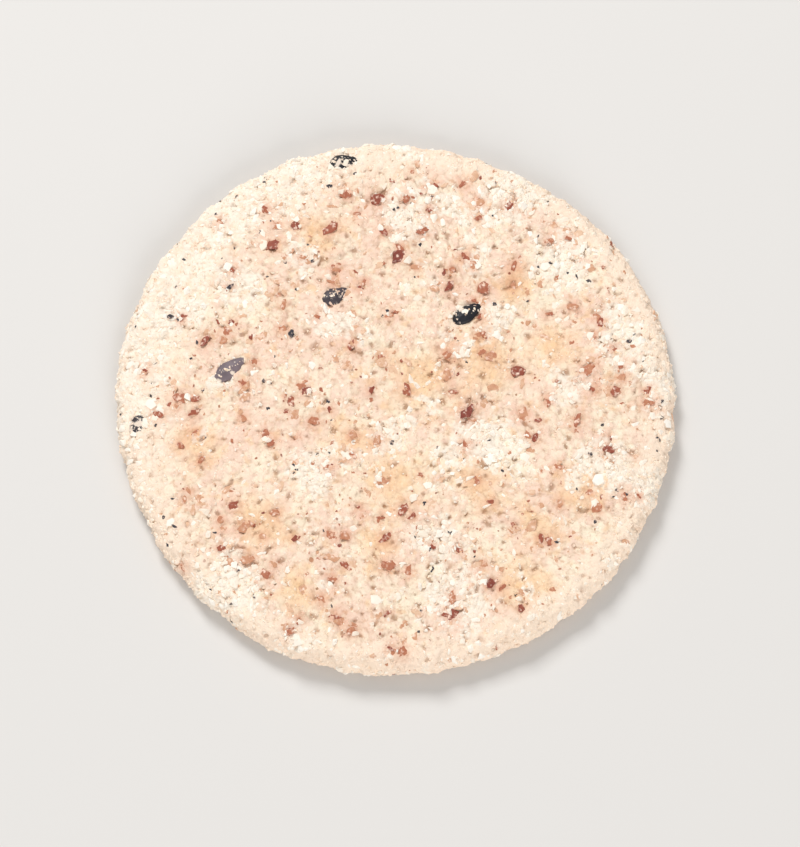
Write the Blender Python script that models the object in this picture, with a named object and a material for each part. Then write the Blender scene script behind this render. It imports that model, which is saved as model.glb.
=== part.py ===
"""A thin round savoury cracker of ground brown rice, lying flat.

One baked piece: a disc with a soft rounded edge, a gently lumpy top and a flat underside.
Black sesame seeds, red-brown bran flakes and white rice grits are baked into it, so they are
joined to the disc as one closed body. The origin is the middle of the underside, and +Y points
away from the viewer.
"""

import itertools
import math

import bmesh
import bpy
import numpy as np
from mathutils import Euler, Matrix, Vector

MM = 0.001

# The disc. The widest point of its edge is a little below half its thickness.
RADIUS = 27.0 * MM
THICKNESS = 3.0 * MM
WIDEST_HEIGHT = 1.3 * MM
TOP_SHOULDER = 2.5 * MM
FOOT_SHOULDER = 1.5 * MM

# How the outline leaves a circle: low waves as (times round, share of the radius, turn), and
# crumbly nicks of this depth and spacing.
OUTLINE_WAVES = ((2, 0.004, 1.6), (3, 0.006, -0.8), (5, 0.003, 4.0))
NICK_DEPTH = 0.28 * MM
NICK_SPACING = 2.3 * MM

# The lumps of the top, as (spacing, height), from the slow swell down to the coarse crumb.
LUMPS = ((12.0 * MM, 0.34 * MM), (4.6 * MM, 0.30 * MM), (2.0 * MM, 0.20 * MM))

# How finely the disc is divided.
TOP_RINGS = 26
SHOULDER_ROWS = 4
FOOT_ROWS = 2

# Black sesame seeds that show, as (right, away, turn in degrees, share sunk into the dough,
# length), in millimetres from the middle.
SEED_WIDTH = 1.9 * MM
SEED_DEPTH = 0.95 * MM
SEED_ROOM = 2.6 * MM
SEEDS = (
    (7.0, 8.8, 38.0, 0.44, 3.4),
    (-5.8, 10.7, 30.0, 0.60, 2.9),
    (-16.0, 3.0, 37.0, 0.60, 3.8),
    (-5.0, 24.7, 12.0, 0.70, 3.1),
    (-25.0, -2.4, 80.0, 0.74, 3.1),
)

# The bran flakes and rice grits that are large enough to show from a step away.
FLAKE_COUNT = 60
FLAKE_LENGTH = (0.9 * MM, 1.6 * MM)
FLAKE_DEPTH = 0.42 * MM
GRIT_COUNT = 58
GRIT_SIZE = (0.7 * MM, 1.15 * MM)
TOPPING_SPACING = 1.9 * MM
TOPPING_SEED = 14

# Patches where the white grits gather, as (right, away, reach) in millimetres.
GRIT_PATCHES = (
    (5.6, -20.3, 3.4),
    (-8.0, -7.1, 2.4),
    (-15.5, -18.6, 4.0),
    (9.8, -4.6, 3.0),
    (19.8, -6.6, 3.2),
    (16.5, 14.4, 4.0),
    (-21.0, 8.6, 3.2),
    (1.0, 19.2, 3.0),
    (4.3, -14.7, 2.6),
    (21.4, 6.6, 2.6),
    (10.6, 20.8, 2.8),
    (-15.6, 12.0, 2.6),
)

DOUGH_COLOUR = (0.80, 0.60, 0.43, 1.0)
DOUGH_ROUGHNESS = 0.85


def corner_value(x, y, z, salt):
    """A fixed number from -1 to 1 for each whole-number corner of space."""
    mixed = (x * 374761393 + y * 668265263 + z * 1442695041 + salt * 974634777) & 0xFFFFFFFF
    mixed = ((mixed ^ (mixed >> 13)) * 1274126177) & 0xFFFFFFFF
    return (mixed ^ (mixed >> 16)) / 0x7FFFFFFF - 1.0


def noise(points, spacing, salt):
    """Smooth gradient noise, about -1 to 1, at an array of points in space."""
    scaled = np.asarray(points, float) / spacing
    base = np.floor(scaled)
    part = scaled - base
    fade = part**3 * (part * (part * 6 - 15) + 10)
    base = base.astype(np.int64)
    total = np.zeros(len(scaled))
    for corner in itertools.product((0, 1), repeat=3):
        near = base + corner
        slope = [corner_value(*near.T, salt + axis) for axis in range(3)]
        weight = np.prod(np.where(corner, fade, 1 - fade), axis=1)
        total += weight * sum(slope[axis] * (part[:, axis] - corner[axis]) for axis in range(3))
    return total * 1.6


def outline_radius(angle):
    """How far the edge is from the middle, for an array of angles."""
    waves = sum(size * np.cos(times * angle + turn) for times, size, turn in OUTLINE_WAVES)
    round_path = np.stack([np.cos(angle), np.sin(angle), np.zeros_like(angle)], axis=1)
    return RADIUS * (1 + waves) + NICK_DEPTH * noise(round_path * RADIUS, NICK_SPACING, 11)


def lump_height(x, y):
    """How much the dough stands above its even thickness, for arrays of places."""
    places = np.stack([x, y, np.zeros_like(x)], axis=1)
    return sum(height * noise(places, spacing, 20 + 5 * n) for n, (spacing, height) in enumerate(LUMPS))


def top_height(x, y):
    """Height of the top face, which rounds over towards the edge as a quarter of an ellipse."""
    x, y = np.asarray(x, float), np.asarray(y, float)
    inside = np.maximum(outline_radius(np.arctan2(y, x)) - np.hypot(x, y), 0.0)
    share = 1 - np.minimum(inside / TOP_SHOULDER, 1.0)
    rounding = np.sqrt(1 - share**2)
    return WIDEST_HEIGHT + (THICKNESS - WIDEST_HEIGHT + lump_height(x, y)) * rounding


def even_disc(mesh):
    """A flat disc of even triangles: a hexagon cut into rows, with each row pushed out to a circle.
    Its outermost row lies at the top of the shoulder."""
    bmesh.ops.create_circle(mesh, cap_ends=True, cap_tris=True, segments=6, radius=1.0)
    bmesh.ops.subdivide_edges(mesh, edges=mesh.edges[:], cuts=TOP_RINGS - 1, use_grid_fill=True)
    bmesh.ops.triangulate(mesh, faces=mesh.faces[:])
    sixth = math.pi / 3
    flat = np.array([vert.co for vert in mesh.verts])
    angle = np.arctan2(-flat[:, 0], flat[:, 1]) % math.tau
    side = np.floor(angle / sixth)
    within = angle - side * sixth
    row = np.hypot(flat[:, 0], flat[:, 1]) * np.sin(within + sixth) / math.sin(sixth)
    along = np.sin(within) / (np.sin(within) + np.sin(sixth - within))
    turned = (side + along) * sixth + math.pi / 2
    place_verts(mesh.verts, turned, row * (outline_radius(turned) - TOP_SHOULDER))


def place_verts(verts, angle, reach, height=None):
    """Moves vertices to these angles and distances out, on the top face or at a given height."""
    x, y = reach * np.cos(angle), reach * np.sin(angle)
    heights = top_height(x, y) if height is None else np.full_like(x, height)
    for vert, place in zip(verts, zip(x, y, heights)):
        vert.co = place


def edge_rows():
    """The rows of the rounded edge, from the top of the shoulder down to the flat underside, each
    as (distance in from the widest point, height, or None on the top face)."""
    rows = []
    for step in range(1, SHOULDER_ROWS + 1):
        turn = math.pi / 2 * step / SHOULDER_ROWS
        rows.append((TOP_SHOULDER * (1 - math.sin(turn)), None))
    for step in range(1, FOOT_ROWS + 1):
        turn = math.pi / 2 * step / FOOT_ROWS
        rows.append((FOOT_SHOULDER * (1 - math.cos(turn)), WIDEST_HEIGHT * (1 - math.sin(turn))))
    return rows


def build_disc():
    """The bare disc, as one closed mesh object."""
    mesh = bmesh.new()
    even_disc(mesh)
    rim = [edge for edge in mesh.edges if edge.is_boundary]
    for inset, height in edge_rows():
        grown = bmesh.ops.extrude_edge_only(mesh, edges=rim)["geom"]
        verts = [item for item in grown if isinstance(item, bmesh.types.BMVert)]
        angle = np.array([math.atan2(vert.co.y, vert.co.x) for vert in verts])
        place_verts(verts, angle, outline_radius(angle) - inset, height)
        rim = [item for item in grown if isinstance(item, bmesh.types.BMEdge)]
    bmesh.ops.contextual_create(mesh, geom=rim)
    bmesh.ops.recalc_face_normals(mesh, faces=mesh.faces[:])
    if mesh.calc_volume(signed=True) < 0:
        bmesh.ops.reverse_faces(mesh, faces=mesh.faces[:])
    return mesh_object("cracker", mesh, bpy.context.scene.collection)


def mesh_object(name, mesh, collection):
    """Turns a bmesh into a named object in a collection."""
    data = bpy.data.meshes.new(name)
    mesh.to_mesh(data)
    mesh.free()
    obj = bpy.data.objects.new(name, data)
    collection.objects.link(obj)
    return obj


def surface_frame(x, y, turn, sunk):
    """The placing of a topping: its flat side on the slope of the top, turned, and sunk in."""
    step = 0.3 * MM
    height = top_height([x, x + step, x - step, x, x], [y, y, y, y + step, y - step])
    slope_x = (height[1] - height[2]) / (2 * step)
    slope_y = (height[3] - height[4]) / (2 * step)
    upwards = Vector((-slope_x, -slope_y, 1.0)).normalized()
    tilt = Vector((0, 0, 1)).rotation_difference(upwards).to_matrix().to_4x4()
    place = Vector((x, y, height[0])) - upwards * sunk
    return Matrix.Translation(place) @ tilt @ Matrix.Rotation(turn, 4, "Z")


def add_sesame_seed(collection, number, x, y, turn, sunk, length):
    """A drop-shaped seed, lying on its flat side: a squashed ball that narrows to one end."""
    mesh = bmesh.new()
    bmesh.ops.create_uvsphere(mesh, u_segments=10, v_segments=7, radius=0.5)
    for vert in mesh.verts:
        narrowing = 1 - 0.55 * max(vert.co.x + 0.1, 0.0)
        vert.co = (
            vert.co.x * length * MM,
            vert.co.y * SEED_WIDTH * narrowing,
            vert.co.z * SEED_DEPTH * narrowing,
        )
    lift = SEED_DEPTH * (sunk - 0.5)
    mesh.transform(surface_frame(x * MM, y * MM, math.radians(turn), lift))
    mesh_object(f"sesame_{number}", mesh, collection)


def add_bran_flake(collection, number, x, y, rng):
    """A thin six-sided chip, pressed into the top."""
    length = rng.uniform(*FLAKE_LENGTH)
    mesh = bmesh.new()
    bmesh.ops.create_cone(
        mesh, cap_ends=True, segments=6, radius1=0.5, radius2=0.36, depth=1.0
    )
    mesh.transform(Matrix.Diagonal((length, length * rng.uniform(0.4, 0.62), FLAKE_DEPTH, 1.0)))
    mesh.transform(surface_frame(x, y, rng.uniform(0, math.tau), 0.04 * MM))
    mesh_object(f"flake_{number}", mesh, collection)


def add_rice_grit(collection, number, x, y, rng):
    """An uneven broken grain, a little over half of it below the surface."""
    size = rng.uniform(*GRIT_SIZE)
    mesh = bmesh.new()
    bmesh.ops.create_icosphere(mesh, subdivisions=1, radius=0.5)
    for vert in mesh.verts:
        vert.co *= rng.uniform(0.85, 1.15)
    turned = Euler(rng.uniform(0, math.tau, 3)).to_matrix().to_4x4()
    mesh.transform(turned @ Matrix.Diagonal((size * 1.2, size, size * 0.85, 1.0)))
    mesh.transform(surface_frame(x, y, 0.0, size * 0.08))
    mesh_object(f"grit_{number}", mesh, collection)


def near_patch(x, y):
    """True where the white grits gather."""
    return any(math.hypot(x / MM - px, y / MM - py) < reach for px, py, reach in GRIT_PATCHES)


def scattered_places(rng, count, taken, wanted=lambda x, y: True):
    """Random places on the top, kept apart from each other and from those already taken."""
    places = []
    while len(places) < count:
        reach = (RADIUS - 1.6 * MM) * math.sqrt(rng.random())
        angle = rng.uniform(0, math.tau)
        x, y = reach * math.cos(angle), reach * math.sin(angle)
        clear = all(math.hypot(x - tx, y - ty) > gap for tx, ty, gap in taken)
        if clear and wanted(x, y):
            places.append((x, y))
            taken.append((x, y, TOPPING_SPACING))
    return places


def build_toppings(collection):
    """Seeds, flakes and grits, as loose pieces that reach into the disc."""
    rng = np.random.default_rng(TOPPING_SEED)
    taken = [(seed[0] * MM, seed[1] * MM, SEED_ROOM) for seed in SEEDS]
    for number, seed in enumerate(SEEDS):
        add_sesame_seed(collection, number, *seed)
    for number, (x, y) in enumerate(scattered_places(rng, GRIT_COUNT, taken, near_patch)):
        add_rice_grit(collection, number, x, y, rng)
    for number, (x, y) in enumerate(scattered_places(rng, FLAKE_COUNT, taken)):
        add_bran_flake(collection, number, x, y, rng)


def join_toppings(disc, collection):
    """One union makes the disc and its toppings a single closed body."""
    join = disc.modifiers.new("toppings", "BOOLEAN")
    join.operation = "UNION"
    join.operand_type = "COLLECTION"
    join.collection = collection
    join.solver = "MANIFOLD"
    bpy.context.view_layer.update()
    graph = bpy.context.evaluated_depsgraph_get()
    joined = bpy.data.meshes.new_from_object(disc.evaluated_get(graph))
    disc.modifiers.clear()
    disc.data = joined
    for obj in list(collection.objects):
        bpy.data.objects.remove(obj)
    bpy.data.collections.remove(collection)


def dough_material():
    """Dry baked rice dough: pale, matte and a little peach."""
    material = bpy.data.materials.new("baked_rice_dough")
    material.use_nodes = True
    shader = material.node_tree.nodes["Principled BSDF"]
    shader.inputs["Base Color"].default_value = DOUGH_COLOUR
    shader.inputs["Roughness"].default_value = DOUGH_ROUGHNESS
    shader.inputs["Metallic"].default_value = 0.0
    return material


def main():
    for obj in list(bpy.data.objects):
        bpy.data.objects.remove(obj)
    toppings = bpy.data.collections.new("toppings")
    bpy.context.scene.collection.children.link(toppings)
    disc = build_disc()
    build_toppings(toppings)
    join_toppings(disc, toppings)
    disc.data.materials.clear()
    disc.data.materials.append(dough_material())
    disc.data.shade_smooth()
    disc.data.set_sharp_from_angle(angle=math.radians(40))


main()
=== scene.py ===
# %% [markdown]
# # A thin round cracker of ground brown rice
#
# The cracker is one flat baked disc, 54 mm across and 3 mm thick. Its dough is coarse meal pressed
# together, so the surface is made of small rounded granules with creases between them. White rice
# grits, red-brown bran flakes and a few black sesame seeds are baked into it.
#
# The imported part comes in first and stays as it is. Everything made here sits in its frame: metres,
# the middle of the underside at the origin, +Z up and +Y away from the viewer.

import itertools
import math

import bpy
import numpy as np
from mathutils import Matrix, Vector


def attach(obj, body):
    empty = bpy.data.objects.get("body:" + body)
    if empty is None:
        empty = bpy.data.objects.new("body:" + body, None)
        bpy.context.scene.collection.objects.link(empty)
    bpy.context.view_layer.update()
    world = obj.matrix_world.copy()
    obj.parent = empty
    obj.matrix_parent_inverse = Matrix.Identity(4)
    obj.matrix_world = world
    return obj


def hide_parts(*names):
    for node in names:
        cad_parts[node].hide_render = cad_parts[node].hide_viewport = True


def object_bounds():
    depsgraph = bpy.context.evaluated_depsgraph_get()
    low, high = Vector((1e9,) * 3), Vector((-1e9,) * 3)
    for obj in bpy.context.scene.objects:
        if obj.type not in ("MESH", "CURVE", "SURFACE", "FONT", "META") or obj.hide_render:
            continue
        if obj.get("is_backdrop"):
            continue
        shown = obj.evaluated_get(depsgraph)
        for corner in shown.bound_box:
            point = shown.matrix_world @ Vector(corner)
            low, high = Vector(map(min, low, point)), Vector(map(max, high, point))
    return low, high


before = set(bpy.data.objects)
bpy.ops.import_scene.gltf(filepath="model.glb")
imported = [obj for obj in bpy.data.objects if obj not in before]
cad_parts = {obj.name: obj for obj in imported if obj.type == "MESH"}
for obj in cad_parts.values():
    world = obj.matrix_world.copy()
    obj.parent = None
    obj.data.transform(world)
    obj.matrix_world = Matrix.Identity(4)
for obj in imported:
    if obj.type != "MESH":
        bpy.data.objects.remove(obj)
cad_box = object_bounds()
MM = 0.001
print("the packed part, in mm:", [[round(v / MM, 2) for v in corner] for corner in cad_box])

# %% [markdown]
# ## Noise and granules
#
# Two patterns shape the dough. Gradient noise gives slow swells and an uneven outline. It is the
# same as in the part's own source, so both outlines agree. A granule pattern scatters one centre in
# each small cube of space and asks each point how far the nearest centre is, which gives rounded
# grains that touch. Both are worked out for whole arrays of points at once. Each use has its own
# salt, a whole number that makes it differ from the others.


# %% Gradient noise
def corner_value(x, y, z, salt):
    """A fixed number from -1 to 1 for each whole-number corner of space, from its mixed-up bits."""
    mixed = (x * 374761393 + y * 668265263 + z * 1442695041 + salt * 974634777) & 0xFFFFFFFF
    mixed = ((mixed ^ (mixed >> 13)) * 1274126177) & 0xFFFFFFFF
    return (mixed ^ (mixed >> 16)) / 0x7FFFFFFF - 1.0


def noise(points, spacing, salt):
    """Smooth noise from about -1 to 1: each corner of a cubic lattice has a random slope, and a
    point blends its eight corners' slopes with the fade 6t^5 - 15t^4 + 10t^3. The sum is stretched
    by 1.6, as it seldom reaches far from 0."""
    scaled = points / spacing
    base = np.floor(scaled)
    part = scaled - base
    fade = part**3 * (part * (part * 6 - 15) + 10)
    base = base.astype(np.int64)
    total = np.zeros(len(scaled))
    for corner in itertools.product((0, 1), repeat=3):
        near = base + corner
        slope = [corner_value(*near.T, salt + axis) for axis in range(3)]
        weight = np.prod(np.where(corner, fade, 1 - fade), axis=1)
        total += weight * sum(slope[axis] * (part[:, axis] - corner[axis]) for axis in range(3))
    return total * 1.6


# %% Granules
FAR_AWAY = 9.0


def granules(points, spacing, salt):
    """For each point: the distance to the nearest granule centre, how much further the second one
    is, both as shares of the spacing, and the nearest granule's own random number from 0 to 1.
    Each cube of the lattice holds one centre, moved from its middle by up to 0.4 of the spacing."""
    scaled = points / spacing
    base = np.floor(scaled).astype(np.int64)
    first = np.full(len(points), FAR_AWAY)
    second = np.full(len(points), FAR_AWAY)
    own = np.zeros(len(points))
    for step in itertools.product((-1, 0, 1), repeat=3):
        cube = base + step
        moved = np.stack([corner_value(*cube.T, salt + axis) for axis in range(3)], axis=1)
        away = np.linalg.norm(cube + 0.5 + 0.4 * moved - scaled, axis=1)
        closer = away < first
        second = np.where(closer, first, np.minimum(second, away))
        own = np.where(closer, corner_value(*cube.T, salt + 7) / 2 + 0.5, own)
        first = np.where(closer, away, first)
    return first, second - first, own


# %% [markdown]
# ## The form of the disc
#
# A baked round like this is cut from a thin sheet of dough and puffs a little, so it has a soft
# shoulder above, a tighter one below and a flat underside. The form could be a cylinder with a
# bevel, but its outline isn't a true circle. Instead a profile is carried round the middle, and its
# reach follows an outline that depends on the angle. The numbers are those of the part's source.

# %% Sizes of the disc
RADIUS = 27.0 * MM
THICKNESS = 3.0 * MM
WIDEST_HEIGHT = 1.3 * MM
TOP_SHOULDER = 2.5 * MM
FOOT_SHOULDER = 1.5 * MM
OUTLINE_WAVES = ((2, 0.004, 1.6), (3, 0.006, -0.8), (5, 0.003, 4.0))
NICK_DEPTH = 0.28 * MM
NICK_SPACING = 2.3 * MM
LUMPS = ((12.0 * MM, 0.34 * MM), (4.6 * MM, 0.30 * MM), (2.0 * MM, 0.20 * MM))


# %% Outline and top height
def outline_radius(angle):
    """Distance from the middle to the edge: the radius, times one plus three low waves round the
    disc, plus noise read along a circle for the crumbly nicks."""
    waves = sum(size * np.cos(times * angle + turn) for times, size, turn in OUTLINE_WAVES)
    circle = np.stack([np.cos(angle), np.sin(angle), np.zeros_like(angle)], axis=1)
    return RADIUS * (1 + waves) + NICK_DEPTH * noise(circle * RADIUS, NICK_SPACING, 11)


def top_height(x, y, reach):
    """Height of the top: the widest height, plus the thickness above it and three sizes of lump,
    times a quarter circle over the shoulder, sqrt(1 - s^2), with s going from 0 inside to 1 at the
    edge."""
    places = np.stack([x, y, np.zeros_like(x)], axis=1)
    lumps = sum(height * noise(places, size, 20 + 5 * n) for n, (size, height) in enumerate(LUMPS))
    s = 1 - np.clip((reach - np.hypot(x, y)) / TOP_SHOULDER, 0, 1)
    return WIDEST_HEIGHT + (THICKNESS - WIDEST_HEIGHT + lumps) * np.sqrt(1 - s**2)


# %% [markdown]
# ## Rings with as many points as they need
#
# On a plain polar grid every ring has the same number of points, so they crowd at the middle and
# spread at the edge. Here each ring gets as many points as its length asks for, and neighbouring
# rings are zipped together with triangles. The spacing is fine where the granules show, and it
# widens over a few rings to a coarse one on the flat underside.


# %% Zip two rings together
def zip_rings(first_a, count_a, first_b, count_b):
    """Triangles between an inner ring a and an outer ring b. Both are walked round together, and
    each step goes along the ring whose next point comes first, so no points are skipped."""
    ends = np.concatenate([(np.arange(count_a) + 1) / count_a, (np.arange(count_b) + 1) / count_b])
    on_a = np.argsort(ends, kind="stable") < count_a
    at_a = np.cumsum(on_a) - on_a
    at_b = np.cumsum(~on_a) - ~on_a
    near_a, next_a = first_a + at_a % count_a, first_a + (at_a + 1) % count_a
    near_b, next_b = first_b + at_b % count_b, first_b + (at_b + 1) % count_b
    return np.stack([near_a, near_b, np.where(on_a, next_a, next_b)], axis=1)


# %% The profile, ring by ring
FINE_SPACING = 0.178 * MM
COARSE_SPACING = 0.6 * MM
WIDENING_RINGS = 12


def profile_rings(fine, coarse):
    """The profile as arrays over the rings: share and inset, where a ring's reach is
    share * (outline - inset); its height, or nan on the top, where top_height gives it; and its
    number of points. Both shoulders are quarter ellipses, about 1.5 times as long as deep. Over
    the upper one inset = depth * (1 - sin t). Under the lower one inset = depth * (1 - cos t) and
    height = widest height * (1 - sin t)."""
    flat = RADIUS - TOP_SHOULDER
    top = np.linspace(0, 1, round(flat / fine) + 1)[1:]
    over = np.linspace(0, math.pi / 2, round(1.5 * TOP_SHOULDER / fine))[1:]
    under = np.linspace(0, math.pi / 2, round(1.45 * FOOT_SHOULDER / fine))[1:]
    widening = np.linspace(fine, coarse, WIDENING_RINGS)
    steps = np.cumsum(widening)
    base_flat = RADIUS - FOOT_SHOULDER
    rest = np.linspace(base_flat - steps[-1], 0, round((base_flat - steps[-1]) / coarse) + 1)[1:-1]
    base = np.concatenate([base_flat - steps, rest]) / base_flat
    share = np.concatenate([top, np.ones(len(over) + len(under)), base])
    inset = np.concatenate([
        np.full(len(top), TOP_SHOULDER),
        TOP_SHOULDER * (1 - np.sin(over)),
        FOOT_SHOULDER * (1 - np.cos(under)),
        np.full(len(base), FOOT_SHOULDER),
    ])
    height = np.concatenate([
        np.full(len(top) + len(over), np.nan),
        WIDEST_HEIGHT * (1 - np.sin(under)),
        np.zeros(len(base)),
    ])
    gap = np.concatenate([
        np.full(len(top) + len(over) + len(under), fine),
        widening,
        np.full(len(rest), coarse),
    ])
    count = np.maximum(6, np.round(math.tau * share * (RADIUS - inset) / gap)).astype(int)
    return share, inset, height, count


# %% The bare disc as points and triangles
def bare_disc(fine, coarse):
    """Points and triangles of the smooth disc: a middle point, all rings, a middle point below."""
    share, inset, height, count = profile_rings(fine, coarse)
    ring = np.repeat(np.arange(len(count)), count)
    first = np.concatenate([[0], np.cumsum(count)[:-1]])
    angle = (np.arange(len(ring)) - first[ring]) / count[ring] * math.tau
    edge = outline_radius(angle)
    reach = share[ring] * (edge - inset[ring])
    x, y = reach * np.cos(angle), reach * np.sin(angle)
    z = np.where(np.isnan(height[ring]), top_height(x, y, edge), height[ring])
    middle = np.zeros(1)
    crown = top_height(middle, middle, middle + RADIUS)
    points = np.concatenate([[[0, 0, crown[0]]], np.stack([x, y, z], axis=1), [[0, 0, 0]]])
    bands = [zip_rings(first[k] + 1, count[k], first[k + 1] + 1, count[k + 1])
             for k in range(len(count) - 1)]
    last, inner = len(points) - 1, np.arange(count[0])
    outer = np.arange(count[-1])
    crown_fan = np.stack([np.zeros_like(inner), inner + 1, (inner + 1) % count[0] + 1], axis=1)
    base_start = first[-1] + 1
    base_fan = np.stack([outer * 0 + last, (outer + 1) % count[-1] + base_start,
                         outer + base_start], axis=1)
    return points, np.concatenate([crown_fan, *bands, base_fan])


def face_sizes(points, triangles):
    """Each triangle's area times its outward direction: half the cross product of two sides."""
    a, b, c = (points[triangles[:, k]] for k in range(3))
    return np.cross(b - a, c - a) / 2


def outward(points, triangles):
    """Each point's outward direction: the sum of its triangles' area vectors, made one long."""
    faces = face_sizes(points, triangles)
    total = np.stack([
        sum(np.bincount(triangles[:, k], faces[:, axis], len(points)) for k in range(3))
        for axis in range(3)
    ], axis=1)
    return total / np.linalg.norm(total, axis=1, keepdims=True)


smooth_points, disc_triangles = bare_disc(FINE_SPACING, COARSE_SPACING)
smooth_outward = outward(smooth_points, disc_triangles)
print("bare disc:", len(smooth_points), "points,", len(disc_triangles), "triangles")

# %% [markdown]
# ## Where the meal is coarse and pale
#
# The real surface isn't even. White grits gather in loose patches, and the rim is crumbly and
# creamy because it dries first, more broadly so on the far left side. Two masks hold this, one for
# the patches and one for the rim. They drive the relief here, the colour later, and how thickly
# the loose grains are strewn, so that form and colour agree. The patches are placed as they lie on
# the real cracker's top. Each row holds a patch's place and its reach, in millimetres.

# %% Patches and rim
GRIT_PATCHES = (
    (5.6, -20.3, 4.2), (-8.0, -7.1, 3.0), (-15.5, -18.6, 4.4), (9.8, -4.6, 3.6),
    (19.8, -6.6, 3.6), (16.5, 14.4, 4.2), (-21.0, 8.6, 3.2), (1.0, 19.2, 3.2),
    (4.3, -14.7, 3.6), (21.4, 6.6, 3.2), (10.6, 20.8, 3.4), (-15.6, 12.0, 3.2),
)
RIM_WIDTH = 3.6 * MM
BROAD_RIM_WIDTH = 8.4 * MM
BROAD_SIDE = math.radians(146)


def smooth_step(low, high, value):
    """0 below low, 1 above high, and the curve 3t^2 - 2t^3 between."""
    t = np.clip((value - low) / (high - low), 0, 1)
    return t * t * (3 - 2 * t)


def broad_side(points):
    """1 on the side where the pale rim is broad and 0 on the rest: the curve above, over the cosine
    of the angle to that side's middle."""
    angle = np.arctan2(points[:, 1], points[:, 0])
    return smooth_step(0.45, 0.9, np.cos(angle - BROAD_SIDE))


def patch_mask(points):
    """1 in the middle of each patch of grits, fading to 0 at its reach, with edges torn by noise.
    Loose small patches follow a second noise, and there are more of them towards the right. The
    broad side of the rim is lightly floured too."""
    torn = 1.3 * MM * noise(points, 2.2 * MM, 70) + 0.8 * MM * noise(points, 0.9 * MM, 71)
    mask = np.zeros(len(points))
    for x, y, reach in GRIT_PATCHES:
        away = np.hypot(points[:, 0] - x * MM, points[:, 1] - y * MM) + torn
        mask = np.maximum(mask, 1 - smooth_step(0.2 * reach * MM, 1.2 * reach * MM, away))
    loose = noise(points, 4.5 * MM, 75) + 0.4 * noise(points, 1.2 * MM, 76)
    loose = smooth_step(0.2, 0.6, loose + 0.2 * points[:, 0] / RADIUS)
    return np.maximum(mask, np.maximum(0.7 * loose, 0.6 * broad_side(points) * rim_mask(points)))


def rim_mask(points):
    """0 over the flat of the top and 1 at the edge. It rises over the outer two thirds of the rim's
    width, which is larger on the broad side."""
    edge = outline_radius(np.arctan2(points[:, 1], points[:, 0]))
    width = RIM_WIDTH + (BROAD_RIM_WIDTH - RIM_WIDTH) * broad_side(points)
    torn = 0.7 * MM * noise(points, 1.6 * MM, 72)
    away = np.hypot(points[:, 0], points[:, 1]) - edge + torn
    return smooth_step(-width, -width / 3, away)


# %% [markdown]
# ## Where the seeds lie
#
# The few black seeds that show are placed as on the real top. Each row holds a seed's place, its
# turn in degrees, the share of its depth that is sunk, and its length. Wet dough creeps up round a
# pressed-in seed, so the dough gets a low collar that overlaps the seed's edge. The part's source
# has the same seeds in the same places.

# %% Seeds and the dough's collar round them
SEEDS = np.array([
    (7.0, 8.8, 38.0, 0.44, 3.4), (-5.8, 10.7, 30.0, 0.60, 2.9), (-16.0, 3.0, 37.0, 0.60, 3.8),
    (-5.0, 24.7, 12.0, 0.70, 3.1), (-25.0, -2.4, 80.0, 0.74, 3.1),
])
SEED_WIDTH = 1.9 * MM
SEED_DEPTH = 0.95 * MM
ON_TOP = 2 * MM


def seed_collar(points):
    """1 on a ring just outside each seed and 0 away from it: exp(-((q - 1.25) / 0.25)^2), where q
    is the distance from the seed's middle as a share of its half length and half width. It is 0
    wherever the dough isn't part of the top."""
    collar = np.zeros(len(points))
    for x, y, turn, _, length in SEEDS:
        across = points[:, 0] - x * MM, points[:, 1] - y * MM
        cos, sin = math.cos(math.radians(turn)), math.sin(math.radians(turn))
        along = (across[0] * cos + across[1] * sin) / (length * MM / 2)
        beside = (across[1] * cos - across[0] * sin) / (SEED_WIDTH / 2)
        collar = np.maximum(collar, np.exp(-(((np.hypot(along, beside) - 1.25) / 0.25) ** 2)))
    return collar * (points[:, 2] > ON_TOP)


# %% [markdown]
# ## The granules of the dough
#
# A displacement shader would be lost when the model is exported, and the outline would stay
# smooth. So the granules are real relief: each point moves along its outward direction. Two sizes
# of granule are laid over each other, as in coarse meal, with a few open pores. The underside
# stays almost flat, because it bakes on a plate.


# %% Raise the granules
COARSE_GRANULE, COARSE_HEIGHT = 1.05 * MM, 0.3 * MM
FINE_GRANULE, FINE_HEIGHT = 0.52 * MM, 0.24 * MM
GRAIN_HEIGHT = 0.04 * MM
PORE_DEPTH = 0.2 * MM
COLLAR_HEIGHT = 0.18 * MM
UNDERSIDE_LIFT = 0.05 * MM
LOWEST_DOUGH = 0.01 * MM


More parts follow.
